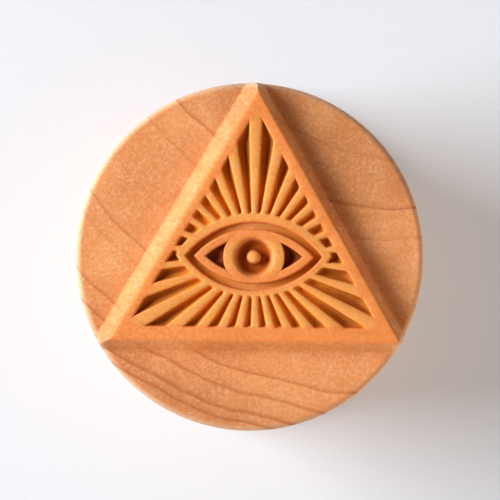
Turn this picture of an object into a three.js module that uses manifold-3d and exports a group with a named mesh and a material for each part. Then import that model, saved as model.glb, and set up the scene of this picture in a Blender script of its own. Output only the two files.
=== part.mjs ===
// Round wooden hand stamp for clay, standing on its grip with the carved face up.
// Millimetres, +Z up, origin at the middle of the flat end that it stands on.
// +X and +Y lie in the carved face: +Y points from the eye to the triangle's top corner.

import * as THREE from 'three';
import { mergeVertices } from 'three/addons/utils/BufferGeometryUtils.js';
import Module from 'manifold-3d';

// Turned body
const DIAMETER = 40;
const DIE_HEIGHT = 12;
const GRIP_HEIGHT = 20;
const FOOT_ROUND = 1.2;
const RIM_ROUND = 0.7;
const JOINT_EASE = 0.25;
const GROOVE_DEPTH = 1.6;
const GROOVE_LAND = 3.4;

// Raised triangle
const GROUND_DEPTH = 2.4;
const BEVEL_RUN = 1.15;
const CORNER_MARGIN = 0.68;
const FIGURE_SHIFT_X = 0.5;
const FIGURE_TURN_DEG = -0.7;
const TRIANGLE_SHIFT_X = 0.22;
const FOOT_SHIFT_X = -0.12;
const BORDER = 1.31;
const FIELD_SHIFT_X = 0.08;
const FIELD_RISE = 0.3;

// Carving inside the triangle
const CARVING_DEPTH = 1.8;
const WALL_RUN = 0.5;
const RAY_COUNT = 30;
const RAY_WIDTH_AT_EYE = 0.64;
const RAY_SPREAD_DEG = 2.2;

// Eye: almonds one inside the other, then the iris and the pupil
const EYE_HALF_LENGTH = 8.9;
const EYE_HALF_HEIGHT = 4.75;
const EYE_RISE = 0.25;
const OUTER_LID = 0.82;
const LID_GROOVE = 0.74;
const LID_DEPTH = 0.8;
const INNER_LID = 0.9;
const IRIS_RADIUS = 3.48;
const IRIS_RING = 1.42;
const PUPIL_RADIUS = 0.72;

// Glued joint between die and grip
const DOWEL_DIAMETER = 6;
const DOWEL_SPACING = 20;
const DOWEL_FLUTES = 16;
const FLUTE_DEPTH = 0.3;
const DOWEL_CHAMFER = 0.6;
const DOWEL_CLEARANCE = 0.3;
const DOWEL_END_GAP = 0.5;
const GRIP_HOLE_DEPTH = 10;
const WOOD_UNDER_CARVING = 2;
const DRILL_POINT_DEG = 118;

// Facets
const ROUND_STEPS = 96;
const FILLET_STEPS = 4;
const GROOVE_STEPS = 10;
const ALMOND_STEPS = 20;
const CIRCLE_STEPS = 40;
const HOLE_STEPS = 32;

// How far a cutter reaches past the wood that it cuts
const OVERSHOOT = 1;

// Places worked out from the sizes
const RADIUS = DIAMETER / 2;
const FACE_Z = GRIP_HEIGHT + DIE_HEIGHT;
const GROUND_Z = FACE_Z - GROUND_DEPTH;
const TRIANGLE_INRADIUS = (RADIUS - CORNER_MARGIN) / 2;
const LID_ARC = (EYE_HALF_LENGTH ** 2 + EYE_HALF_HEIGHT ** 2) / (2 * EYE_HALF_HEIGHT);
const LID_CENTRE_DROP = LID_ARC - EYE_HALF_HEIGHT;
const HOLE_RADIUS = DOWEL_DIAMETER / 2 + DOWEL_CLEARANCE;
const HOLE_POINT = HOLE_RADIUS / Math.tan(THREE.MathUtils.degToRad(DRILL_POINT_DEG / 2));
const DIE_HOLE_DEPTH = DIE_HEIGHT - GROUND_DEPTH - WOOD_UNDER_CARVING - HOLE_POINT;
const DOWEL_LENGTH = DIE_HOLE_DEPTH + GRIP_HOLE_DEPTH - 2 * DOWEL_END_GAP;
const DOWEL_SIDES = { dowel_left: -1, dowel_right: 1 };

const DIE_WOOD = { color: 0xe39a5f, roughness: 0.62, metalness: 0 };
const GRIP_WOOD = { color: 0xe2a56c, roughness: 0.5, metalness: 0 };
const DOWEL_WOOD = { color: 0xd8b48a, roughness: 0.7, metalness: 0 };

const wasm = await Module();
wasm.setup();

// A closed geometry as a solid that can be joined and cut.
function solid(geometry) {
  const bare = geometry.clone();
  bare.deleteAttribute('normal');
  bare.deleteAttribute('uv');
  const merged = mergeVertices(bare);
  return new wasm.Manifold(new wasm.Mesh({
    numProp: 3,
    vertProperties: new Float32Array(merged.attributes.position.array),
    triVerts: new Uint32Array(merged.index.array),
  }));
}

// A finished solid as a named mesh with its own wood.
function piece(name, body, wood) {
  const { vertProperties, triVerts } = body.getMesh();
  const geometry = new THREE.BufferGeometry();
  geometry.setAttribute('position', new THREE.BufferAttribute(vertProperties, 3));
  geometry.setIndex(new THREE.BufferAttribute(triVerts, 1));
  geometry.computeVertexNormals();
  const mesh = new THREE.Mesh(geometry, new THREE.MeshStandardMaterial(wood));
  mesh.name = name;
  return mesh;
}

// A profile of [radius, height] points turned about the Z axis.
function turned(profile, steps = ROUND_STEPS) {
  const points = profile.map(([r, z]) => new THREE.Vector2(r, z));
  return new THREE.LatheGeometry(points, steps).rotateX(Math.PI / 2);
}

// Points of a round edge in a turned profile, from one angle to another about its centre.
function arc(centreR, centreZ, radius, fromDeg, toDeg, steps) {
  return Array.from({ length: steps + 1 }, (_, i) => {
    const angle = THREE.MathUtils.degToRad(fromDeg + (toDeg - fromDeg) * i / steps);
    return [centreR + radius * Math.cos(angle), centreZ + radius * Math.sin(angle)];
  });
}

// A closed wall through the same outline at several heights. Each level is [height, growth],
// and outline(growth) gives the outline moved outwards by that much.
function loft(outline, levels) {
  const rings = levels.map(([z, growth]) => outline(growth).map(({ x, y }) => [x, y, z]));
  const count = rings[0].length;
  const last = count * (rings.length - 1);
  const faces = [];
  for (let start = 0; start < last; start += count) {
    for (let i = 0; i < count; i++) {
      const here = start + i;
      const next = start + (i + 1) % count;
      faces.push(here, next, next + count, here, next + count, here + count);
    }
  }
  for (const [a, b, c] of THREE.ShapeUtils.triangulateShape(outline(0), [])) {
    faces.push(c, b, a, last + a, last + b, last + c);
  }
  const geometry = new THREE.BufferGeometry();
  geometry.setAttribute('position', new THREE.Float32BufferAttribute(rings.flat(2), 3));
  geometry.setIndex(faces);
  return geometry;
}

// The figure as a whole lies a little off the turned axis, as it does on the real stamp.
function placed(geometry) {
  const turn = THREE.MathUtils.degToRad(FIGURE_TURN_DEG);
  return geometry.rotateZ(turn).translate(FIGURE_SHIFT_X, 0, 0);
}

// Wood to take out of the face: the outline at the face, narrower at the floor.
function pocket(outline, depth = CARVING_DEPTH) {
  return solid(placed(loft(outline, [
    [FACE_Z - depth, -WALL_RUN * depth / CARVING_DEPTH],
    [FACE_Z, 0],
    [FACE_Z + OVERSHOOT, 0],
  ])));
}

// Wood left standing in a pocket: the outline at the face, wider below it.
function island(outline, depth = CARVING_DEPTH, run = WALL_RUN) {
  const below = depth + OVERSHOOT;
  return solid(placed(loft(outline, [
    [FACE_Z - below, run * below / depth],
    [FACE_Z, 0],
    [FACE_Z + 2 * OVERSHOOT, 0],
  ])));
}

// A point of an outline, by its distance from the middle and its angle from +X.
function polar(reach, degrees) {
  const angle = THREE.MathUtils.degToRad(degrees);
  return new THREE.Vector2(reach * Math.cos(angle), reach * Math.sin(angle));
}

// Equilateral triangle, one corner towards +Y.
function triangle(inradius, middleX, middleY) {
  const middle = new THREE.Vector2(middleX, middleY);
  return [90, 210, 330].map((degrees) => polar(2 * inradius, degrees).add(middle));
}

// The raised triangle. Its foot lies a little to the left of its top.
function raisedTriangle(growth) {
  const drift = (FOOT_SHIFT_X - TRIANGLE_SHIFT_X) * growth / BEVEL_RUN;
  return triangle(TRIANGLE_INRADIUS + growth, TRIANGLE_SHIFT_X + drift, 0);
}

// The field inside its border, which is wider at the bottom than at the other two sides.
function rayField(growth) {
  return triangle(TRIANGLE_INRADIUS - BORDER + growth, FIELD_SHIFT_X, FIELD_RISE);
}

const circle = (radius) => (growth) =>
  Array.from({ length: CIRCLE_STEPS }, (_, i) => polar(radius + growth, 360 * i / CIRCLE_STEPS));

// Almond of two equal arcs. The inset makes a parallel almond inside the outer lid's edge.
const almond = (inset) => (growth) => {
  const radius = LID_ARC - inset + growth;
  const halfAngle = Math.acos(LID_CENTRE_DROP / radius);
  const upper = Array.from({ length: ALMOND_STEPS }, (_, i) => {
    const angle = halfAngle * (2 * i / ALMOND_STEPS - 1);
    return [-radius * Math.sin(angle), radius * Math.cos(angle) - LID_CENTRE_DROP];
  });
  const lower = upper.map(([x, y]) => [-x, -y]);
  return [...upper, ...lower].map(([x, y]) => new THREE.Vector2(x, y + EYE_RISE));
};

// How far the outer lid's edge lies from the eye's middle.
function eyeReach(degrees) {
  const { x, y } = polar(LID_CENTRE_DROP, degrees);
  return Math.sqrt(LID_ARC ** 2 - x ** 2) - Math.abs(y);
}

// One ray: a long strip that starts under the outer lid and gets wider from the lid outwards.
const ray = (degrees) => (growth) => {
  const spread = Math.tan(THREE.MathUtils.degToRad(RAY_SPREAD_DEG));
  const edge = eyeReach(degrees);
  const start = edge - OUTER_LID;
  const end = 2 * RADIUS;
  const halfWidth = (reach) => RAY_WIDTH_AT_EYE / 2 + spread * (reach - edge) + growth;
  const corners = [
    [start, -halfWidth(start)],
    [end, -halfWidth(end)],
    [end, halfWidth(end)],
    [start, halfWidth(start)],
  ];
  const pupil = new THREE.Vector2();
  const angle = THREE.MathUtils.degToRad(degrees);
  return corners.map(([x, y]) => new THREE.Vector2(x, y).rotateAround(pupil, angle));
};

// The field's pocket with the rays and the eye left standing in it. The cuts between the rays
// are deepest where they are widest, because their walls slope and meet in the narrow places.
function rayPocket() {
  let cut = pocket(rayField);
  for (let i = 0; i < RAY_COUNT; i++) {
    cut = cut.subtract(island(ray(90 + 360 * i / RAY_COUNT)));
  }
  return cut.subtract(island(almond(0)));
}

// The grooves of the eye: between the lids, the white on each side, and round the pupil.
function eyeGrooves() {
  const innerEdge = OUTER_LID + LID_GROOVE;
  const lids = pocket(almond(OUTER_LID), LID_DEPTH).subtract(island(almond(innerEdge)));
  const whites = pocket(almond(innerEdge + INNER_LID)).subtract(island(circle(IRIS_RADIUS)));
  const irisRing = pocket(circle(IRIS_RADIUS - IRIS_RING)).subtract(island(circle(PUPIL_RADIUS)));
  return lids.add(whites).add(irisRing);
}

// The wood cleared away round the triangle, down to the ground and over the rounded rim.
function clearedGround() {
  const flatEdge = RADIUS - RIM_ROUND;
  const past = RADIUS + OVERSHOOT;
  const above = FACE_Z + OVERSHOOT;
  const waste = solid(turned([
    [0, GROUND_Z],
    ...arc(flatEdge, GROUND_Z - RIM_ROUND, RIM_ROUND, 90, 0, FILLET_STEPS),
    [past, GROUND_Z - RIM_ROUND],
    [past, above],
    [0, above],
  ]));
  return waste.subtract(island(raisedTriangle, GROUND_DEPTH, BEVEL_RUN));
}

// A block with both dowel holes, which run across the joint and end in the drill's point.
function drilled(body) {
  const bottom = GRIP_HEIGHT - GRIP_HOLE_DEPTH;
  const top = GRIP_HEIGHT + DIE_HOLE_DEPTH;
  const profile = [
    [0, bottom - HOLE_POINT],
    [HOLE_RADIUS, bottom],
    [HOLE_RADIUS, top],
    [0, top + HOLE_POINT],
  ];
  for (const side of Object.values(DOWEL_SIDES)) {
    const hole = turned(profile, HOLE_STEPS).translate(side * DOWEL_SPACING / 2, 0, 0);
    body = body.subtract(solid(hole));
  }
  return body;
}

function carvedDie() {
  const blank = solid(turned([
    [0, GRIP_HEIGHT],
    [RADIUS - JOINT_EASE, GRIP_HEIGHT],
    [RADIUS, GRIP_HEIGHT + JOINT_EASE],
    [RADIUS, FACE_Z],
    [0, FACE_Z],
  ]));
  const carved = blank.subtract(clearedGround()).subtract(rayPocket()).subtract(eyeGrooves());
  return piece('carved_die', drilled(carved), DIE_WOOD);
}

function turnedGrip() {
  const halfGroove = GRIP_HEIGHT / 2 - GROOVE_LAND;
  const sweep = (halfGroove ** 2 + GROOVE_DEPTH ** 2) / (2 * GROOVE_DEPTH);
  const halfAngle = THREE.MathUtils.radToDeg(Math.asin(halfGroove / sweep));
  const groove = arc(RADIUS - GROOVE_DEPTH + sweep, GRIP_HEIGHT / 2, sweep,
    180 + halfAngle, 180 - halfAngle, GROOVE_STEPS);
  const blank = solid(turned([
    [0, 0],
    ...arc(RADIUS - FOOT_ROUND, FOOT_ROUND, FOOT_ROUND, -90, 0, FILLET_STEPS),
    ...groove,
    [RADIUS, GRIP_HEIGHT - JOINT_EASE],
    [RADIUS - JOINT_EASE, GRIP_HEIGHT],
    [0, GRIP_HEIGHT],
  ]));
  return piece('turned_grip', drilled(blank), GRIP_WOOD);
}

// A fluted dowel: straight glue flutes along it and a chamfer at each end.
function flutedDowel(name, side) {
  const radius = DOWEL_DIAMETER / 2;
  const outline = (growth) => Array.from({ length: 2 * DOWEL_FLUTES }, (_, i) =>
    polar(radius + growth - (i % 2) * FLUTE_DEPTH, 180 * i / DOWEL_FLUTES));
  const geometry = loft(outline, [
    [0, -DOWEL_CHAMFER],
    [DOWEL_CHAMFER, 0],
    [DOWEL_LENGTH - DOWEL_CHAMFER, 0],
    [DOWEL_LENGTH, -DOWEL_CHAMFER],
  ]);
  const dowel = piece(name, solid(geometry), DOWEL_WOOD);
  const bottom = GRIP_HEIGHT - GRIP_HOLE_DEPTH + DOWEL_END_GAP;
  dowel.position.set(side * DOWEL_SPACING / 2, 0, bottom);
  return dowel;
}

const stamp = new THREE.Group();
stamp.add(carvedDie(), turnedGrip());
for (const [name, side] of Object.entries(DOWEL_SIDES)) {
  stamp.add(flutedDowel(name, side));
}

export default stamp;
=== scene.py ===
"""Looks of a round wooden hand stamp for clay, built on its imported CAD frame."""

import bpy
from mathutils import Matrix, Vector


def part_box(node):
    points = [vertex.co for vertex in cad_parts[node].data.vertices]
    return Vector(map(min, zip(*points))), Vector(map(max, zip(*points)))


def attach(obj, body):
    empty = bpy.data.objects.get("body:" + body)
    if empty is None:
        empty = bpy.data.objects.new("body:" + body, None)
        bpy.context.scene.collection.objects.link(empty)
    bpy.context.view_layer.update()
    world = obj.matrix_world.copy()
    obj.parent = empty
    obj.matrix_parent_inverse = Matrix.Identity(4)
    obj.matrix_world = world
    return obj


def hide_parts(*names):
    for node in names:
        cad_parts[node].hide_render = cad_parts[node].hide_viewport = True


bl_info = {
    "name": "Hand stamp",
    "version": (1, 0, 0),
    "blender": (4, 5, 0),
    "location": "3D View > Sidebar > Hand stamp",
    "description": "Builds a carved wooden clay stamp, its wood finishes and its stage",
    "category": "Object",
}

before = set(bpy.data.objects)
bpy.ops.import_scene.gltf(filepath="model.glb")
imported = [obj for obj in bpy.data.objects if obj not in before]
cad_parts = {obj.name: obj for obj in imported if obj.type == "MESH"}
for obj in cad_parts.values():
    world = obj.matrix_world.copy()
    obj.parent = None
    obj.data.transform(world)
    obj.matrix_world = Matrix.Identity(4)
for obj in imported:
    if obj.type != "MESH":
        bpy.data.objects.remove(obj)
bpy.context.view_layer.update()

import math
from types import SimpleNamespace

import bmesh
import bpy
from mathutils import Vector, kdtree
from mathutils.geometry import delaunay_2d_cdt

MM = 0.001
DIE_LOW, DIE_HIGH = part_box("carved_die")
GRIP_LOW, GRIP_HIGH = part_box("turned_grip")
DOWEL_BOXES = [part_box("dowel_left"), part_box("dowel_right")]

# The photograph's frame and the disc in it, in pixels
PHOTO_SIZE_PX = 500
DISC_CENTRE_PX = (249.64, 256.98)
DISC_RADIUS_PX = 173.7

# Lines that the net of the face has along each cut edge, as shares of the wall's run
WALL_LINES = (-1.1, -0.7, -0.4, -0.2, 0.0, 0.2, 0.4, 0.6, 0.8, 1.0, 1.2, 1.5)
# Level lines on the sloping floor of a cut between two rays, in the same shares
FLOOR_LINES = (2.1, 2.8, 3.5, 4.2, 4.9, 5.6, 6.3)
# Lines along the bevel round the triangle, as shares of the bevel's run
BEVEL_LINES = (-0.3, -0.22, -0.14, -0.07, 0.0, 0.07, 0.14, 0.22, 0.32,
               0.45, 0.6, 0.74, 0.84, 0.92, 1.0, 1.08, 1.16, 1.26)
# Circles over the rounded rim, and how far inside it the innermost one lies
RIM_LINES = 7
RIM_SEGMENTS = 240
INSIDE_RIM_MM = 0.1
NET_STEP_MM = 0.32
FLAT_STEP_MM = 0.6
FLAT_CLEARANCE_MM = 0.26
# Finer net where the rays meet the corners of the eye
CORNER_STEP_MM = 0.1
CORNER_REACH_MM = 1.3
# Points of the net that are closer than this are one point
NET_TOLERANCE_MM = 1e-5
# Points this close to the top of the block belong to its face
FACE_TOLERANCE_MM = 0.01
# A direction with less rise than this leads to a corner of the eye
LEVEL_RISE = 0.02
# How often the wandering of the cut edges turns, in waves per metre
WAVER_SCALE = 700.0
# The lids' groove is cut this much steeper than the rays
LID_STEEPNESS = 1.5
# How fast the turn of the lower rays dies away to either side
FAN_POWER = 3.0
# How far down a ray has to point to be a broad one, and where the broad ones end
BROAD_FROM = (0.0, 0.25)
BROAD_TO = (0.68, 0.88)
# How fast the pupil falls away from its flat middle
PUPIL_POWER = 5.0
GRIP_RINGS = 180
GRIP_SEGMENTS = 192
HOLE_SEGMENTS = 48
# Room for glue past each end of a dowel
HOLE_SPARE_MM = 0.5
SPECULAR_LEVEL = 0.12
SENSOR_WIDTH_MM = 36.0
FLOOR_HALF_WIDTH_M = 4.0
COS_30 = math.cos(math.radians(30))
SHARP_ANGLE = math.radians(42)


def length(name, millimetres, description):
    """A size that the user can change."""
    return bpy.props.FloatProperty(
        name=name, description=description, default=millimetres * MM, unit="LENGTH", precision=5)


def angle(name, degrees, description):
    """An angle that the user can change."""
    return bpy.props.FloatProperty(
        name=name, description=description, default=math.radians(degrees), subtype="ANGLE")


def share(name, value, description):
    """A plain number that the user can change."""
    return bpy.props.FloatProperty(name=name, description=description, default=value)


def colour(name, rgb, description):
    """A colour that the user can change, in linear values."""
    return bpy.props.FloatVectorProperty(
        name=name, description=description, default=rgb, subtype="COLOR", size=3, min=0.0, max=1.0)


class CarvingSizes(bpy.types.PropertyGroup):
    """Sizes of the carved face."""

    radius: length("Radius", DIE_HIGH.x / MM, "Radius of the turned die")
    face_height: length("Face height", DIE_HIGH.z / MM, "Height of the uncut face")
    rim_round: length("Rim rounding", 0.7, "Radius of the rounded rim of the cleared ground")
    ground_depth: length("Ground depth", 2.4, "Depth of the ground cleared round the triangle")
    bevel_run: length("Bevel run", 1.15, "Width of the sloping side of the triangle")
    triangle_inradius: length("Triangle inradius", 9.66, "From the triangle's middle to the edge of its top")
    triangle_shift: length("Triangle shift", 0.22, "How far the triangle's top lies right of the pupil")
    foot_shift: length("Foot shift", -0.12, "How far the bevels' foot lies right of the pupil")
    pocket_inradius: length("Pocket inradius", 8.35, "From the middle of the cut-out field to its sides")
    pocket_shift: length("Pocket shift", 0.08, "How far the cut-out field lies right of the pupil")
    pocket_rise: length("Pocket rise", 0.3, "How far the cut-out field lies above the pupil")
    figure_shift: length("Figure shift", 0.5, "How far the figure lies off the turned axis")
    figure_turn: angle("Figure turn", -0.7, "How far the figure is turned on the face")
    carving_depth: length("Carving depth", 1.2, "Most that the pointed cutter sinks inside the triangle")
    wall_depth: length("Wall depth", 0.55, "Depth of the steep wall round a cut")
    wall_run: length("Wall run", 0.13, "How far that wall leans in")
    floor_slope: share("Floor slope", 0.85, "How steeply a cut's floor falls from its walls to its middle")
    lid_depth: length("Lid depth", 0.42, "Depth of the groove between the lids, in the eye's middle")
    lid_corner_depth: length("Lid corner depth", 1.05, "Depth of the same groove at the eye's corners")
    edge_soften: length("Edge softening", 0.75, "Depth over which the top of a wall is worn round")
    bevel_soften: length("Bevel softening", 1.0, "Depth over which the triangle's edges are worn round")
    floor_soften: length("Floor softening", 0.3, "Depth over which a wall runs into the floor")
    corner_soften: length("Corner softening", 0.3, "Rounding left by the cutter in the corners")
    ray_count: share("Rays", 30, "Number of rays round the eye")
    ray_width: length("Ray width", 0.58, "Width of a ray where it leaves the eye")
    ray_spread: angle("Ray spread", 2.2, "Angle by which each side of a ray widens")
    low_ray_width: length("Low ray width", 0.64, "Width at the eye of a ray towards a lower corner")
    low_ray_spread: angle("Low ray spread", 3.0, "Angle by which each side of such a ray widens")
    ray_crown: length("Ray crown", 0.1, "Rounding along the top of a ray")
    fan_turn: angle("Fan turn", -0.05, "How far every ray is turned anticlockwise")
    fan_lean: angle("Fan lean", 2.45, "How much further some of the lower rays are turned")
    fan_bearing: angle("Fan bearing", 293.0, "Direction of the rays that are turned furthest, from +X")
    eye_half_length: length("Eye half length", 8.9, "From the pupil to a corner of the eye")
    eye_half_height: length("Eye half height", 4.75, "Half the height of the outer lid")
    eye_rise: length("Eye rise", 0.25, "How far the lids lie above the pupil")
    groove_rise: length("Groove rise", 0.08, "How far the groove between the lids lies above the pupil")
    outer_lid: length("Outer lid", 0.8, "Width of the outer lid")
    lid_groove: length("Lid groove", 0.9, "Width of the groove between the lids")
    inner_lid: length("Inner lid", 0.84, "Width of the inner lid")
    iris_radius: length("Iris radius", 3.46, "Outer radius of the iris")
    iris_ring: length("Iris ring", 1.16, "Width of the ring of the iris")
    ring_crown: length("Ring crown", 0.08, "Rounding of the top of the ring of the iris")
    iris_run: length("Iris run", 0.65, "How far the inner wall of the iris leans in over the whole depth")
    pupil_radius: length("Pupil radius", 0.72, "Radius of the pupil")
    pupil_drop: length("Pupil drop", 0.4, "How far the pupil's edge lies under its middle")
    waver: length("Waver", 0.05, "How far the cut edges wander, as a hand-held cutter's do")


class GripSizes(bpy.types.PropertyGroup):
    """Sizes of the turned grip."""

    radius: length("Radius", GRIP_HIGH.x / MM, "Radius of the grip's lands")
    height: length("Height", GRIP_HIGH.z / MM, "Height of the grip")
    foot_round: length("Foot rounding", 1.2, "Radius of the rounded lower edge")
    joint_ease: length("Joint easing", 0.25, "Eased edge at the glued joint")
    groove_depth: length("Groove depth", 1.6, "Depth of the finger groove")
    groove_land: length("Groove land", 3.4, "Straight wood above and below the finger groove")
    groove_soften: length("Groove softening", 0.25, "Rounding of the edges of the finger groove")


class DowelSizes(bpy.types.PropertyGroup):
    """Sizes of the dowel holes, which run across the joint."""

    spacing: length("Spacing", (DOWEL_BOXES[1][1] - DOWEL_BOXES[0][1]).x / MM, "Between the two dowels")
    hole_radius: length("Hole radius", 3.3, "Radius of the dowel holes")
    hole_bottom: length("Hole bottom", DOWEL_BOXES[0][0].z / MM - HOLE_SPARE_MM, "Lower end of the holes")
    hole_top: length("Hole top", DOWEL_BOXES[0][1].z / MM + HOLE_SPARE_MM, "Upper end of the holes")


class WoodColours(bpy.types.PropertyGroup):
    """Colours of the woods and of their marks, and of the painted shade and highlights on the carved face."""

    ground: colour("Cleared ground", (0.93, 0.34, 0.11), "End grain that was cleared and sanded")
    figure: colour("Carved figure", (1.0, 0.31, 0.07), "End grain of the carved triangle")
    line: colour("Ring line", (0.6, 0.17, 0.05), "Thin dark line at the end of a year's growth")
    sapwood: colour("Pale growth", (0.97, 0.41, 0.148), "Paler, yellower patches of the cleared ground")
    # Painted highlight on the tops of the rays, the outer lid, the iris ring and the pupil
    ridge_highlight: colour("Worn edge", (1.0, 0.45, 0.095), "Polished tops of the ridges")
    fleck: colour("Ray fleck", (0.97, 0.6, 0.34), "Pale flecks of the wood's rays")
    rim: colour("Rim", (1.0, 0.6, 0.37), "Sanded rim, paler than the ground")
    cut: colour("Cut wall", (0.78, 0.29, 0.085), "Walls of the cuts")
    # Partly the cutter's browning, partly painted shade and warm bounce light in the cuts
    scorch_and_shade: colour("Scorch", (0.94, 0.34, 0.026), "Cuts between the rays and the lids, browned by the cutter")
    # Painted shade deep in the wider cuts and in the lids' groove
    deep_cut_shade: colour("Soot", (0.44, 0.118, 0.016), "Wider cuts, browned further")
    # Painted shade in the hollow between the iris ring and the pupil
    char: colour("Char", (0.44, 0.084, 0.0), "Hollow of the iris")
    # Painted shade in the whites of the eye
    shade: colour("Shade", (0.21, 0.03, 0.0), "Darkest wood, in the whites of the eye")
    side: colour("Turned side", (0.84, 0.42, 0.18), "Long grain of the turned sides")
    beech: colour("Beech", (0.62, 0.36, 0.17), "Dowels")
    beech_streak: colour("Beech streak", (0.72, 0.47, 0.25), "Paler grain of the dowels")
    beech_pore: colour("Beech pore", (0.3, 0.13, 0.05), "Short dark pores of the dowels")
    floor: colour("Floor", (0.852, 0.926, 1.0), "Paper that the stamp stands on")
    paper_white: colour("Paper white", (0.98, 0.97, 1.0), "White that the floor is lifted towards")


class StageSettings(bpy.types.PropertyGroup):
    """Light and camera."""

    lens: share("Lens", 250.0, "Focal length of the camera, in millimetres")
    key_level: share("Key level", 0.815, "Light that the soft box gives the floor")
    key_bearing: angle("Key bearing", 168.0, "Direction of the soft box, from +X towards +Y")
    key_height: angle("Key height", 29.2, "Height of the soft box above the horizon")
    key_distance: length("Key distance", 720.0, "From the stamp to the soft box")
    key_width: angle("Key width", 36.0, "Angle that the soft box takes up from side to side")
    key_tall: angle("Key tallness", 24.0, "Angle that the soft box takes up from top to bottom")
    key_colour: colour("Key colour", (0.96, 0.965, 1.0), "Cool daylight of the soft box")
    fill_colour: colour("Fill colour", (0.336, 0.265, 0.205), "Warm light of the room")
    fill_lean: bpy.props.FloatVectorProperty(
        name="Fill lean", description="How the room's light changes towards +X, +Y and +Z",
        default=(3.0, -3.0, -2.4), size=3)
    floor_glow: share("Floor glow", 0.25, "Share of the floor's paper white that needs no light")


class Wire:
    """An output socket of a node tree. Arithmetic on wires adds Math nodes to the tree."""

    def __init__(self, socket):
        self.socket = socket
        self.tree = socket.id_data

    @staticmethod
    def node(tree, kind, inputs=None, output=0, stops=(), **settings):
        """Adds a node of any kind and gives one of its outputs as a wire."""
        made = tree.nodes.new(kind)
        for name, value in settings.items():
            setattr(made, name, value)
        if stops:
            ramp = made.color_ramp
            while len(ramp.elements) < len(stops):
                ramp.elements.new(1.0)
            for element, (place, level) in zip(ramp.elements, stops):
                element.position = place
                element.color = (level, level, level, 1.0)
        for key, value in (inputs or {}).items():
            if isinstance(value, Wire):
                tree.links.new(value.socket, made.inputs[key])
            else:
                made.inputs[key].default_value = value
        return Wire(made.outputs[output])

    def math(self, operation, *others):
        """The result of a Math node with this wire as its first value."""
        values = dict(enumerate((self, *others)))
        return Wire.node(self.tree, "ShaderNodeMath", values, operation=operation)

    def fade(self, start, end):
        """A mask that goes smoothly from 0 at start to 1 at end."""
        ends = {"Value": self, "From Min": start, "From Max": end}
        return Wire.node(self.tree, "ShaderNodeMapRange", ends, interpolation_type="SMOOTHSTEP")

    def __add__(self, other):
        return self.math("ADD", other)

    def __sub__(self, other):
        return self.math("SUBTRACT", other)

    def __mul__(self, other):
        return self.math("MULTIPLY", other)

    def __truediv__(self, other):
        return self.math("DIVIDE", other)

    def __rsub__(self, other):
        return (self * -1.0).math("ADD", other)

    def __neg__(self):
        return self * -1.0

    __radd__ = __add__
    __rmul__ = __mul__


def hypotenuse(x, y):
    """Distance from the origin, from two wires."""
    return (x * x + y * y).math("SQRT")


def least(first, *others):
    """The smallest of some wires."""
    for other in others:
        first = first.math("MINIMUM", other)
    return first


def greatest(first, *others):
    """The largest of some wires."""
    for other in others:
        first = first.math("MAXIMUM", other)
    return first


def vector(tree, operation, first, second, output=0):
    """The result of a Vector Math node."""
    return Wire.node(tree, "ShaderNodeVectorMath", {0: first, 1: second}, output, operation=operation)


def parts_of(place):
    """The x, y and z of a vector wire."""
    split = Wire.node(place.tree, "ShaderNodeSeparateXYZ", {0: place}).socket.node
    return [Wire(socket) for socket in split.outputs]


def mixed(factor, first, second, blend="MIX"):
    """Two colours mixed by a factor."""
    inputs = {0: factor, 6: first, 7: second}
    tree = next(wire.tree for wire in (factor, first, second) if isinstance(wire, Wire))
    return Wire.node(tree, "ShaderNodeMix", inputs, 2, data_type="RGBA", blend_type=blend)


def even_colour(level):
    """A grey, from one wire."""
    return Wire.node(level.tree, "ShaderNodeCombineColor", {0: level, 1: level, 2: level})


def rgba(value):
    """A colour property as a socket's value."""
    return (*value, 1.0)


def noise(place, scale, detail=2.0, roughness=0.5):
    """Even noise about 0.5. The scale is in waves per millimetre where the place is in millimetres."""
    inputs = {"Vector": place, "Scale": scale, "Detail": detail, "Roughness": roughness}
    return Wire.node(place.tree, "ShaderNodeTexNoise", inputs)


def geometry_tree(name, sizes):
    """A new tree with a mesh in and out, a material and one named input for each size."""
    tree = bpy.data.node_groups.new(name, "GeometryNodeTree")
    tree.interface.new_socket("Geometry", in_out="OUTPUT", socket_type="NodeSocketGeometry")
    tree.interface.new_socket("Geometry", in_out="INPUT", socket_type="NodeSocketGeometry")
    tree.interface.new_socket("Material", in_out="INPUT", socket_type="NodeSocketMaterial")
    for size in sizes.__annotations__:
        tree.interface.new_socket(size, in_out="INPUT", socket_type="NodeSocketFloat")
    group = tree.nodes.new("NodeGroupInput")
    named = {socket.name: Wire(socket) for socket in group.outputs if socket.name}
    return tree, SimpleNamespace(**named)


def finished_tree(shape, material):
    """Ends a tree: realized, with its material, to the output."""
    tree = shape.tree
    real = Wire.node(tree, "GeometryNodeRealizeInstances", {0: shape})
    dressed = Wire.node(tree, "GeometryNodeSetMaterial", {"Geometry": real, "Material": material})
    tree.links.new(dressed.socket, tree.nodes.new("NodeGroupOutput").inputs[0])


def add_tree(piece, tree, sizes, material):
    """Puts a tree on a piece as a modifier and sets the tree's inputs."""
    modifier = piece.modifiers.new(tree.name, "NODES")
    modifier.node_group = tree
    for socket in tree.interface.items_tree:
        if socket.in_out == "INPUT" and socket.name == "Material":
            modifier[socket.identifier] = material
        elif socket.in_out == "INPUT" and socket.name != "Geometry":
            modifier[socket.identifier] = getattr(sizes, socket.name)


def plain_mesh(piece):
    """Turns a piece's modifiers into its plain mesh, smooth but for its hard edges."""
    depsgraph = bpy.context.evaluated_depsgraph_get()
    mesh = bpy.data.meshes.new_from_object(piece.evaluated_get(depsgraph))
    piece.modifiers.clear()
    mesh.name = piece.name
    piece.data = mesh
    mesh.shade_smooth()
    mesh.set_sharp_from_angle(angle=SHARP_ANGLE)


def new_piece(name):
    """An empty mesh object in the scene."""
    piece = bpy.data.objects.new(name, bpy.data.meshes.new(name))
    bpy.context.scene.collection.objects.link(piece)
    return piece


# The carved face


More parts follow.
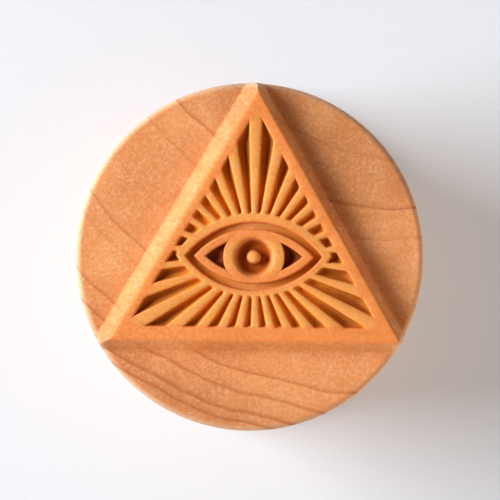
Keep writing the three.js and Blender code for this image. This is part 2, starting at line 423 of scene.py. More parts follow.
def polar(reach, bearing):
    """A point by its distance and its angle from +X."""
    return Vector((reach * math.cos(bearing), reach * math.sin(bearing)))


# Directions that the three sides of the triangle face
SIDES = [polar(1, math.radians(degrees)) for degrees in (30, 150, 270)]


def in_millimetres(sizes):
    """The sizes as plain numbers, lengths in millimetres."""
    plain = {}
    for name in sizes.__annotations__:
        is_length = sizes.bl_rna.properties[name].unit == "LENGTH"
        plain[name] = getattr(sizes, name) / MM if is_length else getattr(sizes, name)
    return SimpleNamespace(**plain)


def clipped(polygon, normal, offset):
    """The part of a convex polygon that lies past a line: normal . point >= offset."""
    kept = []
    for a, b in zip(polygon, polygon[1:] + polygon[:1]):
        past_a = a.dot(normal) - offset
        past_b = b.dot(normal) - offset
        if past_a >= 0:
            kept.append(a)
        if past_a * past_b < 0:
            kept.append(a.lerp(b, past_a / (past_a - past_b)))
    return kept


def resampled(loop, step):
    """A closed loop with points added so that no edge is longer than step."""
    points = []
    for a, b in zip(loop, loop[1:] + loop[:1]):
        count = max(1, math.ceil((b - a).length / step))
        points += [a.lerp(b, i / count) for i in range(count)]
    return points


def round_loop(radius, segments):
    """A circle as a closed loop."""
    return [polar(radius, math.tau * i / segments) for i in range(segments)]


def bevel_loop(s, at):
    """The triangle's outline at some share of its sloping side, from 0 at the top to 1 at the foot."""
    inradius = s.triangle_inradius + at * s.bevel_run
    middle = Vector((s.triangle_shift + at * (s.foot_shift - s.triangle_shift), 0))
    return [middle - 2 * inradius * side for side in SIDES]


def almond_arc(s):
    """Radius of the arcs of the outer lid, and how far their centres lie from the eye's middle."""
    outer = (s.eye_half_length ** 2 + s.eye_half_height ** 2) / (2 * s.eye_half_height)
    return outer, outer - s.eye_half_height


def almond_loop(s, inset):
    """An edge of the groove between the lids or of the whites, by its distance inside the eye's outline."""
    outer, drop = almond_arc(s)
    radius = outer - inset
    half = math.acos(drop / radius)
    steps = math.ceil(2 * half * radius / NET_STEP_MM)
    turns = [half * (1 - 2 * i / steps) for i in range(steps)]
    upper = [Vector((radius * math.sin(turn), radius * math.cos(turn) - drop)) for turn in turns]
    return [Vector((p.x, p.y + s.groove_rise)) for p in upper + [-p for p in upper]]


def eye_reach(s, bearing):
    """From the eye's middle to the outer lid's edge."""
    outer, drop = almond_arc(s)
    across = drop * math.cos(bearing)
    return math.sqrt(outer ** 2 - across ** 2) - drop * abs(math.sin(bearing))


def ray_bearing(s, index):
    """Direction of a ray, counted from the top one: an even fan but for some of the lower rays."""
    even = math.pi / 2 + math.tau / s.ray_count * index
    return even + s.fan_turn + s.fan_lean * max(0, math.cos(even - s.fan_bearing)) ** FAN_POWER


def smooth_step(value, start, end):
    """Goes smoothly from 0 at start to 1 at end."""
    share_done = min(1, max(0, (value - start) / (end - start)))
    return share_done ** 2 * (3 - 2 * share_done)


def ray_taper(s, bearing):
    """Half a ray's width where it leaves the eye, and how fast that grows."""
    down = -math.sin(bearing)
    broad = smooth_step(down, *BROAD_FROM) * (1 - smooth_step(down, *BROAD_TO))
    width = s.ray_width + (s.low_ray_width - s.ray_width) * broad
    spread = math.tan(s.ray_spread)
    return width / 2, spread + (math.tan(s.low_ray_spread) - spread) * broad


def cell_loop(s, index, inset):
    """The cut between two neighbouring rays, moved inwards by the inset."""
    first, second = ray_bearing(s, index), ray_bearing(s, index + 1)
    size = 2 * s.radius
    loop = [Vector((size, size)), Vector((-size, size)), Vector((-size, -size)), Vector((size, -size))]
    for bearing, turn in ((first, 1), (second, -1)):
        along = polar(1, bearing)
        across = Vector((-along.y, along.x)) * turn
        half_width, spread = ray_taper(s, bearing)
        at_middle = half_width - spread * eye_reach(s, bearing)
        loop = clipped(loop, across - spread * along, at_middle + inset)
    for side in SIDES:
        reach = s.pocket_inradius + side.y * s.pocket_rise + side.x * s.pocket_shift
        loop = clipped(loop, -side, inset - reach)
    outer, drop = almond_arc(s)
    middle = polar(1, (first + second) / 2)
    if abs(middle.y) < LEVEL_RISE:
        return clipped(loop, middle, s.eye_half_length + inset)
    centre = Vector((0, s.eye_rise - math.copysign(drop, middle.y)))
    aside = middle.dot(centre)
    reach = aside + math.sqrt(aside ** 2 - centre.length_squared + outer ** 2)
    normal = (middle * reach - centre).normalized()
    return clipped(loop, normal, normal.dot(middle) * reach + inset)


def figure_loops(s):
    """Lines along every edge of the figure, about the pupil."""
    inner_edge = s.outer_lid + s.lid_groove
    white_edge = inner_edge + s.inner_lid
    loops = [bevel_loop(s, at) for at in BEVEL_LINES]
    for at in WALL_LINES + FLOOR_LINES:
        loops += [cell_loop(s, index, at * s.wall_run) for index in range(round(s.ray_count))]
    for at in WALL_LINES:
        run = at * s.wall_run
        loops += [almond_loop(s, inset) for inset in (s.outer_lid + run, inner_edge - run, white_edge + run)]
        iris_wall = s.iris_radius - s.iris_ring - at * s.iris_run
        for radius in (s.iris_radius + run, iris_wall, s.pupil_radius + run):
            loops.append(round_loop(radius, math.ceil(math.tau * radius / NET_STEP_MM)))
    return [resampled(loop, NET_STEP_MM) for loop in loops if len(loop) > 2]


def rim_loops(s):
    """Circles over the rounded rim and just inside it."""
    turns = [math.pi / 2 * i / RIM_LINES for i in range(RIM_LINES + 1)]
    radii = [s.radius - s.rim_round * (1 - math.sin(turn)) for turn in turns]
    return [round_loop(radius, RIM_SEGMENTS) for radius in [radii[0] - INSIDE_RIM_MM, *radii]]


def even_points(centre, reach, step, clearance, lines):
    """Points of an even net round a centre, kept clear of the lines."""
    tree = kdtree.KDTree(len(lines))
    for index, point in enumerate(lines):
        tree.insert(point.to_3d(), index)
    tree.balance()
    row_step = step * COS_30
    rows = math.ceil(reach / row_step)
    points = []
    for row in range(-rows, rows + 1):
        for column in range(-rows, rows + 1):
            offset = Vector(((column + row % 2 / 2) * step, row * row_step))
            point = centre + offset
            if offset.length < reach and tree.find(point.to_3d())[2] > clearance:
                points.append(point)
    return points


def face_net(s):
    """The face as a flat net of triangles, in millimetres, with lines along its edges."""
    turn = math.cos(s.figure_turn), math.sin(s.figure_turn)

    def on_face(p):
        return Vector((p.x * turn[0] - p.y * turn[1] + s.figure_shift, p.x * turn[1] + p.y * turn[0]))

    points, edges = [], []
    placed = [[on_face(p) for p in loop] for loop in figure_loops(s)]
    for loop in placed + rim_loops(s):
        start = len(points)
        points += loop
        edges += [(start + i, start + (i + 1) % len(loop)) for i in range(len(loop))]
    for end in (-s.eye_half_length, s.eye_half_length):
        corner = on_face(Vector((end, s.eye_rise)))
        points += even_points(corner, CORNER_REACH_MM, CORNER_STEP_MM, CORNER_STEP_MM / 2, points)
    points += even_points(Vector((0, 0)), s.radius - s.rim_round, FLAT_STEP_MM, FLAT_CLEARANCE_MM, points)
    net, _, faces, *_ = delaunay_2d_cdt(points, edges, [], 0, NET_TOLERANCE_MM, False)
    inside = [face for face in faces if sum((net[i] for i in face), Vector((0, 0))).length < 3 * s.radius]
    return net, inside


def uncut_die(piece, sizes, bottom, joint_ease):
    """The turned block before it is carved: a round block whose flat face carries the net."""
    s = in_millimetres(sizes)
    net, faces = face_net(s)
    block = bmesh.new()
    verts = [block.verts.new((p.x * MM, p.y * MM, sizes.face_height)) for p in net]
    for face in faces:
        block.faces.new([verts[i] for i in face])
    bmesh.ops.delete(block, geom=[v for v in block.verts if not v.link_faces], context="VERTS")
    edge = [e for e in block.edges if e.is_boundary]
    for radius, height in ((sizes.radius, bottom + joint_ease), (sizes.radius - joint_ease, bottom)):
        made = bmesh.ops.extrude_edge_only(block, edges=edge)["geom"]
        edge = [e for e in made if isinstance(e, bmesh.types.BMEdge) and e.is_boundary]
        for vert in {v for e in edge for v in e.verts}:
            flat = vert.co.xy.normalized() * radius
            vert.co = (flat.x, flat.y, height)
    bmesh.ops.contextual_create(block, geom=edge)
    bmesh.ops.recalc_face_normals(block, faces=block.faces)
    block.to_mesh(piece.data)
    block.free()


def rounded_cut(level, depth, top_soften, floor_soften):
    """A cut's depth from its sloping wall: level with the top, down the wall, along the floor."""
    return level.math("SMOOTH_MAX", 0.0, top_soften).math("SMOOTH_MIN", depth, floor_soften)


def carved_face_tree():
    """Sinks the net of an uncut face to the carved relief, and stores how far in each cut a point lies."""
    tree, s = geometry_tree("Carved face", CarvingSizes)
    position = Wire.node(tree, "GeometryNodeInputPosition")
    drift = noise(position, WAVER_SCALE, 1.0).socket.node.outputs["Color"]
    drift = vector(tree, "SUBTRACT", Wire(drift), (0.5, 0.5, 0.5))
    drift = Wire.node(tree, "ShaderNodeVectorMath", {0: drift, "Scale": s.waver}, operation="SCALE")
    shift = Wire.node(tree, "ShaderNodeCombineXYZ", {0: s.figure_shift})
    flat = vector(tree, "SUBTRACT", vector(tree, "ADD", position, drift), shift)
    turned = {"Vector": flat, "Axis": (0.0, 0.0, 1.0), "Angle": -s.figure_turn}
    x, y, _ = parts_of(Wire.node(tree, "ShaderNodeVectorRotate", turned))
    reach = hypotenuse(x, y)

    slopes, insides = [], []
    for side in SIDES:
        out = x * side.x + y * side.y
        past_top = out - s.triangle_inradius - s.triangle_shift * side.x
        slopes.append(past_top / (s.bevel_run + (s.foot_shift - s.triangle_shift) * side.x))
        insides.append(s.pocket_inradius + s.pocket_rise * side.y + s.pocket_shift * side.x - out)
    bevel = greatest(*slopes) * s.ground_depth
    cleared = rounded_cut(bevel, s.ground_depth, s.bevel_soften, s.floor_soften)

    arc = (s.eye_half_length * s.eye_half_length / s.eye_half_height + s.eye_half_height) * 0.5
    drop = arc - s.eye_half_height

    half_pitch = s.ray_count.math("POWER", -1.0) * math.pi
    from_top = x.math("ARCTAN2", y)
    to_lean = (from_top + s.fan_bearing - math.pi / 2).math("COSINE").math("MAXIMUM", 0.0)
    lean = s.fan_turn + s.fan_lean * to_lean.math("POWER", FAN_POWER)
    off_ray = (from_top + lean).math("WRAP", half_pitch, -half_pitch)
    across = hypotenuse(reach * off_ray.math("SINE"), s.ray_crown)
    along = reach * off_ray.math("COSINE")
    ray_x = drop * (from_top - off_ray).math("SINE")
    ray_y = drop * (from_top - off_ray).math("COSINE").math("ABSOLUTE")
    past_eye = along - (arc * arc - ray_x * ray_x).math("SQRT") + ray_y
    down = -(from_top - off_ray).math("COSINE")
    broad = down.fade(*BROAD_FROM) * (1.0 - down.fade(*BROAD_TO))
    spread = s.ray_spread.math("TANGENT")
    spread = spread + (s.low_ray_spread.math("TANGENT") - spread) * broad
    half_ray = (s.ray_width + (s.low_ray_width - s.ray_width) * broad) * 0.5 + spread * past_eye
    ray = across - half_ray
    half_gap = reach * half_pitch.math("SINE") - half_ray

    def past_almond(rise):
        height = y - rise
        return greatest(hypotenuse(x, height + drop), hypotenuse(x, height - drop)) - arc

    eye = past_almond(s.eye_rise)
    lid = past_almond(s.groove_rise)
    inner_edge = s.outer_lid + s.lid_groove

    cells = least(*insides).math("SMOOTH_MIN", ray, s.corner_soften)
    cells = cells.math("SMOOTH_MIN", eye, s.corner_soften)
    lids = least(-lid - s.outer_lid, lid + inner_edge)
    off_lid = -lid - inner_edge - s.inner_lid
    off_iris = reach - s.iris_radius
    whites = least(off_lid, off_iris)
    wall_slope = s.wall_depth / s.wall_run
    pupil = s.pupil_drop * (reach / s.pupil_radius).math("POWER", PUPIL_POWER)
    iris = least((s.iris_radius - s.iris_ring - reach) * s.carving_depth / s.iris_run, pupil)
    to_corner = x.math("ABSOLUTE") / s.eye_half_length
    lid_floor = s.lid_depth + (s.lid_corner_depth - s.lid_depth) * to_corner
    lids = (lids * wall_slope * LID_STEEPNESS).math("SMOOTH_MIN", lid_floor, s.floor_soften)
    cuts = greatest(cells, whites)
    cuts = (cuts * wall_slope).math("SMOOTH_MIN", s.wall_depth + cuts * s.floor_slope, s.floor_soften)
    wall = greatest(cuts, iris, lids)
    carved = rounded_cut(wall, s.carving_depth, s.edge_soften, s.floor_soften)
    off_ring = (reach - s.iris_radius + s.iris_ring * 0.5) / s.iris_ring * 2.0
    off_ring = off_ring * off_ring
    carved = greatest(carved, s.ring_crown * off_ring * (off_ring * off_ring * -1.0).math("EXPONENT"))

    px, py, pz = parts_of(position)
    over_rim = greatest(hypotenuse(px, py) - s.radius + s.rim_round, 0.0)
    rim = (s.rim_round * s.rim_round - over_rim * over_rim).math("MAXIMUM", 0.0).math("SQRT")
    sunk = cleared + carved + s.rim_round - rim

    offset = Wire.node(tree, "ShaderNodeCombineXYZ", {2: -sunk})
    on_face = pz.math("GREATER_THAN", s.face_height - FACE_TOLERANCE_MM * MM)
    shape = s.Geometry
    marks = {"carved": carved / s.carving_depth, "cleared": cleared / s.ground_depth,
             "inside": cells / s.wall_run, "gap": half_gap / MM, "groove": lids / s.carving_depth,
             "pocket": greatest(least(*insides, lid + s.outer_lid), off_lid) / MM,
             "white": whites / s.wall_run, "hollow": iris / s.carving_depth}
    for name, value in marks.items():
        kept = {"Geometry": shape, "Name": name, "Value": value}
        shape = Wire.node(tree, "GeometryNodeStoreNamedAttribute", kept, data_type="FLOAT", domain="POINT")
    moved = {"Geometry": shape, "Selection": on_face, "Offset": offset}
    finished_tree(Wire.node(tree, "GeometryNodeSetPosition", moved), s.Material)
    return tree


def dowel_hole_tree():
    """Drills the two dowel holes into a block."""
    tree, s = geometry_tree("Dowel holes", DowelSizes)
    middle = (s.hole_bottom + s.hole_top) * 0.5
    start = Wire.node(tree, "ShaderNodeCombineXYZ", {0: s.spacing * -0.5, 2: middle})
    step = Wire.node(tree, "ShaderNodeCombineXYZ", {0: s.spacing})
    pair = Wire.node(tree, "GeometryNodeMeshLine", {"Count": 2, "Start Location": start, "Offset": step})
    drill = {"Vertices": HOLE_SEGMENTS, "Radius": s.hole_radius, "Depth": s.hole_top - s.hole_bottom}
    bit = Wire.node(tree, "GeometryNodeMeshCylinder", drill)
    bits = Wire.node(tree, "GeometryNodeInstanceOnPoints", {"Points": pair, "Instance": bit})
    bits = Wire.node(tree, "GeometryNodeRealizeInstances", {0: bits})
    cut = {"Mesh 1": s.Geometry, "Mesh 2": bits}
    drilled = Wire.node(tree, "GeometryNodeMeshBoolean", cut, operation="DIFFERENCE", solver="MANIFOLD")
    finished_tree(drilled, s.Material)
    return tree


def turned_grip_tree():
    """Turns the grip: a circle swept up the axis, with its radius worked out from the height."""
    tree, s = geometry_tree("Turned grip", GripSizes)
    top = Wire.node(tree, "ShaderNodeCombineXYZ", {2: s.height})
    axis = Wire.node(tree, "GeometryNodeCurvePrimitiveLine", {"Start": (0.0, 0.0, 0.0), "End": top})
    axis = Wire.node(tree, "GeometryNodeResampleCurve", {"Curve": axis, "Count": GRIP_RINGS})
    _, _, z = parts_of(Wire.node(tree, "GeometryNodeInputPosition"))

    above_foot = greatest(s.foot_round - z, 0.0)
    foot = s.foot_round - (s.foot_round * s.foot_round - above_foot * above_foot).math("SQRT")
    ease = greatest(z - s.height + s.joint_ease, 0.0)
    half = s.height * 0.5 - s.groove_land
    sweep = (half * half / s.groove_depth + s.groove_depth) * 0.5
    from_middle = z - s.height * 0.5
    bow = (sweep * sweep - from_middle * from_middle).math("SQRT") - sweep + s.groove_depth
    groove = bow.math("SMOOTH_MAX", 0.0, s.groove_soften)
    radius = s.radius - foot - ease - groove

    ring = Wire.node(tree, "GeometryNodeCurvePrimitiveCircle", {"Resolution": GRIP_SEGMENTS, "Radius": 1.0})
    swept = {"Curve": axis, "Profile Curve": ring, "Scale": radius, "Fill Caps": True}
    finished_tree(Wire.node(tree, "GeometryNodeCurveToMesh", swept), s.Material)
    return tree


# Wood


def new_material(name, roughness):
    """A new material, its tree and its shader node."""
    material = bpy.data.materials.new(name)
    material.use_nodes = True
    shader = material.node_tree.nodes["Principled BSDF"]
    shader.inputs["Roughness"].default_value = roughness
    shader.inputs["Specular IOR Level"].default_value = SPECULAR_LEVEL
    return material, material.node_tree, shader


def seen_rays(tree):
    """One for the rays that show the backdrop, straight to the camera or off something shiny."""
    names = ("Is Camera Ray", "Is Glossy Ray", "Is Transmission Ray")
    return greatest(*[Wire.node(tree, "ShaderNodeLightPath", output=name) for name in names])


def place_in_millimetres(tree):
    """Object coordinates in millimetres."""
    place = Wire.node(tree, "ShaderNodeTexCoord", output="Object")
    return Wire.node(tree, "ShaderNodeVectorMath", {0: place, "Scale": 1 / MM}, operation="SCALE")


# Year rings: distance from the pith and how dark the line is
RINGS_MM = ((26.3, 0.4), (32.2, 0.75), (36.0, 0.35), (42.0, 0.3), (47.0, 0.7), (48.9, 0.3),
            (53.8, 0.8), (56.2, 1.0), (58.4, 1.0), (59.6, 1.0))
RING_SPAN_MM = (18.0, 64.0)
# A year's growth before, at and after its last line: place, and share of the line's darkness
YEAR_STOPS = ((-0.42, 0.16), (0.0, 1.0), (0.1, 0.0))
# Where the piths of the trees lie from the axis, and the distance at which flecks have their true width
DIE_PITH_MM = (17.3, 37.6, 0.0)
GRIP_PITH_MM = (-24.0, 29.0, 0.0)
FLECK_REACH_MM = 42.0


def ring_stops():
    """Stops of a ramp that darkens slowly to each year's last growth and drops back at once."""
    span = RING_SPAN_MM[1] - RING_SPAN_MM[0]
    stops = [(0.0, 0.0)]
    for radius, darkness in RINGS_MM:
        for offset, level in YEAR_STOPS:
            stops.append(((radius + offset - RING_SPAN_MM[0]) / span, level * darkness))
    return stops


def maple_marks(place, pith):
    """Masks of a maple block: year lines and ray flecks about its pith, and fine fibres along Z."""
    tree = place.tree
    along = vector(tree, "MULTIPLY", place, (1.0, 1.0, 0.12))
    bend = noise(along, 0.09) - 0.5
    from_pith = vector(tree, "SUBTRACT", along, pith)
    x, y, z = parts_of(from_pith)
    reach = hypotenuse(x, y) + bend * 2.2 + (noise(along, 0.6) - 0.5) * 0.15
    where = (reach - RING_SPAN_MM[0]) / (RING_SPAN_MM[1] - RING_SPAN_MM[0])
    lines = Wire.node(tree, "ShaderNodeValToRGB", {0: where}, stops=ring_stops())
    around = x.math("ARCTAN2", y) * FLECK_REACH_MM
    spokes = Wire.node(tree, "ShaderNodeCombineXYZ", {0: around * 6.0, 1: reach * 2.0, 2: z * 0.5})
    flecks = noise(spokes, 1.0, 3.0, 0.7).fade(0.5, 0.68)
    fibres = noise(vector(tree, "MULTIPLY", place, (1.0, 1.0, 0.06)), 3.0, 4.0, 0.75)
    clouds = noise(along, 0.16, 2.0)
    patches = noise(along, 0.35, 2.0)
    return SimpleNamespace(
        lines=lines, flecks=flecks, fibres=fibres, clouds=clouds, patches=patches, reach=reach)


def stored(tree, name):
    """A number that the carving stored at each point."""
    return Wire.node(tree, "ShaderNodeAttribute", output="Fac", attribute_name=name)


def bumped(shader, height, distance):
    """Feeds a bump of some distance to a shader's normal."""
    tree = height.tree
    bump = Wire.node(tree, "ShaderNodeBump", {"Height": height, "Distance": distance})
    tree.links.new(bump.socket, shader.inputs["Normal"])


def carved_maple(colours):
    """End grain of the die: pinker on the cleared ground, orange on the figure, browned in the cuts, with
    painted shade in the cuts and the eye and a painted highlight on the ridges.
    """
    material, tree, shader = new_material("end_grain_maple", 0.6)
    place = place_in_millimetres(tree)
    marks = maple_marks(place, DIE_PITH_MM)
    cleared = stored(tree, "cleared")
    carved = stored(tree, "carved")
    inside = stored(tree, "inside")
    gap = stored(tree, "gap")
    groove = stored(tree, "groove")
    pocket = stored(tree, "pocket")
    hollow = stored(tree, "hollow")
    white = stored(tree, "white")
    on_figure = 1.0 - cleared.fade(0.02, 0.2)
    px, py, pz = parts_of(place)
    down_side = (DIE_HIGH.z / MM - pz).fade(2.9, 4.4)
    at_rim = hypotenuse(px, py).fade(DIE_HIGH.x / MM - 0.75, DIE_HIGH.x / MM - 0.1)
    wood = mixed(marks.clouds.fade(0.4, 0.7) * 0.7, rgba(colours.ground), rgba(colours.sapwood))
    wood = mixed(on_figure * (1.0 - carved.fade(0.1, 0.5)), wood, rgba(colours.figure))
    # Painted highlight: lightens the uncut tops inside the cut-out field, next to the cuts
    ridge_highlight = pocket.fade(0.1, 0.4) * (1.0 - carved.fade(0.1, 0.4))
    wood = mixed(ridge_highlight * 0.55, wood, rgba(colours.ridge_highlight))
    wood = mixed(carved.fade(0.1, 0.3) * 0.6, wood, rgba(colours.cut))
    wood = mixed(at_rim * 0.9, wood, rgba(colours.rim))
    wood = mixed(at_rim * down_side, wood, rgba(colours.side))
    wood = mixed(marks.flecks * (0.4 - on_figure * 0.26), wood, rgba(colours.fleck))
    speckle = marks.patches.fade(0.3, 0.7) * 0.6 + 0.4
    specks = marks.fibres.fade(0.42, 0.72) * speckle * (0.7 - on_figure * 0.3)
    wood = mixed(specks, wood, rgba(colours.fleck))
    on_bevel = cleared.fade(0.02, 0.2) * (1.0 - cleared.fade(0.9, 1.0))
    wood = mixed(marks.lines * (0.9 - on_figure * 0.65 - on_bevel * 0.5), wood, rgba(colours.line))
    tone = (1.0 - marks.reach.fade(26.0, 36.0)) * 0.16 + marks.reach.fade(54.0, 60.0) * 0.16 + 0.02
    grey = (marks.fibres - 0.5) * (0.48 - on_figure * 0.1) + marks.clouds * 0.3 + 0.84
    grey = grey - tone * (1.0 - on_figure)
    wood = mixed(1.0, wood, even_colour(grey), "MULTIPLY")
    foot = cleared.fade(0.8, 0.95) * (1.0 - cleared.fade(0.96, 1.0))
    foot = foot * noise(place, 1.1, 3.0).fade(0.4, 0.65)
    # Browns the cuts, the lids' groove and a broken line along the bevel's foot: partly the cutter's
    # browning, partly painted shade and bounce light
    browned = greatest(inside.fade(-0.3, 0.7) * 0.92, groove.fade(0.25, 0.75) * 0.9, foot * 0.3)
    wood = mixed(browned, wood, rgba(colours.scorch_and_shade))
    # Painted shade in the middle of the wider cuts and in the lids' groove
    wide = gap.fade(0.35, 0.65) * inside.fade(0.0, 1.0)
    deep_shaded = greatest(wide * 0.85, groove.fade(0.15, 0.6) * 0.5)
    wood = mixed(deep_shaded, wood, rgba(colours.deep_cut_shade))
    # Painted shade in the hollow of the iris
    wood = mixed(hollow.fade(0.05, 0.9) * 0.95, wood, rgba(colours.char))
    # Painted shade in the whites of the eye, darkest next to the ring
    wood = mixed(white.fade(-0.3, 0.9), wood, rgba(colours.shade))
    tree.links.new(wood.socket, shader.inputs["Base Color"])
    rough = marks.fibres * 0.2 + 0.5
    tree.links.new(rough.socket, shader.inputs["Roughness"])
    bumped(shader, marks.fibres + marks.flecks * 0.3, 0.03 * MM)
    return material


def turned_maple(colours):
    """Long grain of the turned grip."""
    material, tree, shader = new_material("turned_maple", 0.5)
    place = place_in_millimetres(tree)
    marks = maple_marks(place, GRIP_PITH_MM)
    wood = mixed(marks.lines * 0.45, rgba(colours.side), rgba(colours.line))
    wood = mixed(marks.flecks * 0.18, wood, rgba(colours.fleck))
    grey = marks.fibres * 0.4 + marks.clouds * 0.3 + 0.62
    wood = mixed(1.0, wood, even_colour(grey), "MULTIPLY")
    tree.links.new(wood.socket, shader.inputs["Base Color"])
    rough = marks.fibres * 0.2 + 0.42
    tree.links.new(rough.socket, shader.inputs["Roughness"])
    bumped(shader, marks.fibres, 0.02 * MM)
    return material


def fluted_beech(colours):
    """Beech of the dowels, with short dark pores along the grain."""
    material, tree, shader = new_material("beech_dowel", 0.65)
    place = place_in_millimetres(tree)
    grain = noise(vector(tree, "MULTIPLY", place, (1.0, 1.0, 0.1)), 2.0, 3.0, 0.6)
    pores = noise(vector(tree, "MULTIPLY", place, (1.0, 1.0, 0.25)), 6.0, 2.0).fade(0.58, 0.7)
    wood = mixed(grain.fade(0.3, 0.75), rgba(colours.beech), rgba(colours.beech_streak))
    wood = mixed(pores * 0.6, wood, rgba(colours.beech_pore))
    tree.links.new(wood.socket, shader.inputs["Base Color"])
    bumped(shader, grain - pores, 0.04 * MM)
    return material


def pale_paper(colours, glow):
    """Plain pale floor with a trace of tooth, lifted a little towards white for the camera."""
    material, tree, shader = new_material("pale_paper", 0.85)
    tooth = noise(place_in_millimetres(tree), 1.5, 3.0)
    floor = Vector(colours.floor)
    paper = mixed(tooth.fade(0.3, 0.7), rgba(floor * 0.99), rgba(floor))
    tree.links.new(paper.socket, shader.inputs["Base Color"])
    rays = seen_rays(tree)
    white = Wire.node(tree, "ShaderNodeEmission", {"Color": rgba(colours.paper_white)})
    lifted = Wire.node(tree, "ShaderNodeMixShader", {0: rays * glow, 1: Wire(shader.outputs[0]), 2: white})
    tree.links.new(lifted.socket, tree.nodes["Material Output"].inputs["Surface"])
    return material


# Operators


class STAMP_OT_carved_die(bpy.types.Operator):
    """Carve the die: the triangle, its rays and the eye on a round block"""

    bl_idname = "stamp.carved_die"
    bl_label = "Carved die"

    def execute(self, context):
        scene = context.scene
        piece = new_piece("carved_maple_die")
        uncut_die(piece, scene.stamp_carving, DIE_LOW.z, scene.stamp_grip.joint_ease)
        wood = carved_maple(scene.stamp_colours)
        add_tree(piece, carved_face_tree(), scene.stamp_carving, wood)
        add_tree(piece, dowel_hole_tree(), scene.stamp_dowels, wood)
        plain_mesh(piece)
        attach(piece, "root")
        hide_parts("carved_die")
        return {"FINISHED"}


class STAMP_OT_turned_grip(bpy.types.Operator):
    """Turn the grip behind the die, with its finger groove and rounded foot"""

    bl_idname = "stamp.turned_grip"
    bl_label = "Turned grip"

    def execute(self, context):
        scene = context.scene
        piece = new_piece("turned_maple_grip")
        wood = turned_maple(scene.stamp_colours)
        add_tree(piece, turned_grip_tree(), scene.stamp_grip, wood)
        add_tree(piece, dowel_hole_tree(), scene.stamp_dowels, wood)
        plain_mesh(piece)
        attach(piece, "root")
        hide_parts("turned_grip")
        return {"FINISHED"}


class STAMP_OT_dowels(bpy.types.Operator):
    """Finish the two fluted dowels of the glued joint in beech"""

    bl_idname = "stamp.dowels"
    bl_label = "Dowels"

    def execute(self, context):
        wood = fluted_beech(context.scene.stamp_colours)
        for name in ("dowel_left", "dowel_right"):
            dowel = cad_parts[name]
            dowel.data.materials.clear()
            dowel.data.materials.append(wood)
        return {"FINISHED"}


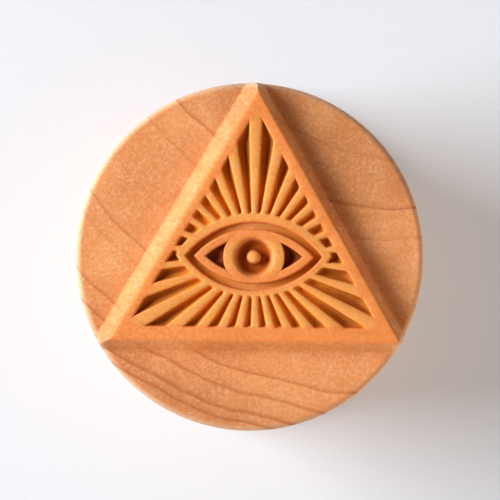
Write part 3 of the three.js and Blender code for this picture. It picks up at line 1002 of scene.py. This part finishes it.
class STAMP_OT_stage(bpy.types.Operator):
    """Set up the pale floor, the soft box, the room's light and the camera"""

    bl_idname = "stamp.stage"
    bl_label = "Stage"

    def execute(self, context):
        scene = context.scene
        settings = scene.stamp_stage
        scene.view_settings.view_transform = "Standard"
        self.floor(scene)
        self.soft_box(scene, settings)
        self.room_light(scene, settings)
        self.camera(scene, settings)
        return {"FINISHED"}

    def floor(self, scene):
        """A wide sheet under the stamp."""
        half = FLOOR_HALF_WIDTH_M
        sheet = new_piece("floor")
        corners = [(-half, -half, 0.0), (half, -half, 0.0), (half, half, 0.0), (-half, half, 0.0)]
        sheet.data.from_pydata(corners, [], [(0, 1, 2, 3)])
        sheet.data.materials.append(pale_paper(scene.stamp_colours, scene.stamp_stage.floor_glow))

    def soft_box(self, scene, settings):
        """One large soft light from the left, of a power that gives the floor its share."""
        lamp = bpy.data.lights.new("soft_box", "AREA")
        lamp.shape = "RECTANGLE"
        reach = settings.key_distance
        lamp.size = 2 * reach * math.tan(settings.key_width / 2)
        lamp.size_y = 2 * reach * math.tan(settings.key_tall / 2)
        lamp.energy = settings.key_level * (math.pi * reach) ** 2 / math.sin(settings.key_height)
        lamp.color = settings.key_colour
        flat = polar(math.cos(settings.key_height), settings.key_bearing)
        towards = Vector((flat.x, flat.y, math.sin(settings.key_height)))
        holder = bpy.data.objects.new("soft_box", lamp)
        holder.location = towards * reach
        holder.rotation_euler = towards.to_track_quat("Z", "Y").to_euler()
        holder.visible_camera = False
        scene.collection.objects.link(holder)

    def room_light(self, scene, settings):
        """Light of the room from all round, stronger towards the fill's lean, seen as a pale wall by the
        camera.
        """
        world = bpy.data.worlds.new("room")
        world.use_nodes = True
        tree = world.node_tree
        shader = tree.nodes["Background"]
        rays = seen_rays(tree)
        outward = Wire.node(tree, "ShaderNodeTexCoord", output="Generated")
        level = greatest(vector(tree, "DOT_PRODUCT", outward, settings.fill_lean, "Value") + 1.0, 0.0)
        light = mixed(1.0, even_colour(level), rgba(settings.fill_colour), "MULTIPLY")
        shade = mixed(rays, light, rgba(scene.stamp_colours.floor))
        tree.links.new(shade.socket, shader.inputs["Color"])
        scene.world = world

    def camera(self, scene, settings):
        """Straight down on the face, at the photograph's scale."""
        sizes = scene.stamp_carving
        pixel = sizes.radius / DISC_RADIUS_PX
        middle = PHOTO_SIZE_PX / 2
        view = bpy.data.cameras.new("camera")
        view.lens = settings.lens
        view.sensor_width = SENSOR_WIDTH_MM
        rim = sizes.face_height - sizes.ground_depth - sizes.rim_round
        above = PHOTO_SIZE_PX * pixel * view.lens / view.sensor_width
        holder = bpy.data.objects.new("camera", view)
        aside = (middle - DISC_CENTRE_PX[0]) * pixel
        up = (DISC_CENTRE_PX[1] - middle) * pixel
        holder.location = (aside, up, rim + above)
        scene.collection.objects.link(holder)
        scene.camera = holder


class STAMP_PT_panel(bpy.types.Panel):
    """The stamp's operators and sizes"""

    bl_idname = "STAMP_PT_panel"
    bl_label = "Hand stamp"
    bl_space_type = "VIEW_3D"
    bl_region_type = "UI"
    bl_category = "Hand stamp"

    def draw(self, context):
        for operator in OPERATORS:
            self.layout.operator(operator.bl_idname)
        for group in SETTINGS:
            settings = getattr(context.scene, group)
            box = self.layout.box()
            for name in settings.__annotations__:
                box.prop(settings, name)


OPERATORS = (STAMP_OT_carved_die, STAMP_OT_turned_grip, STAMP_OT_dowels, STAMP_OT_stage)
SETTINGS = {
    "stamp_carving": CarvingSizes,
    "stamp_grip": GripSizes,
    "stamp_dowels": DowelSizes,
    "stamp_colours": WoodColours,
    "stamp_stage": StageSettings,
}
CLASSES = (*SETTINGS.values(), *OPERATORS, STAMP_PT_panel)


def register():
    """Adds the classes and the scene's settings."""
    for cls in CLASSES:
        bpy.utils.register_class(cls)
    for name, group in SETTINGS.items():
        setattr(bpy.types.Scene, name, bpy.props.PointerProperty(type=group))


def unregister():
    """Takes the settings and the classes away again."""
    for name in SETTINGS:
        delattr(bpy.types.Scene, name)
    for cls in reversed(CLASSES):
        bpy.utils.unregister_class(cls)


def main():
    """Builds the stamp and its stage."""
    register()
    bpy.ops.stamp.carved_die()
    bpy.ops.stamp.turned_grip()
    bpy.ops.stamp.dowels()
    bpy.ops.stamp.stage()


if __name__ == "__main__":
    main()
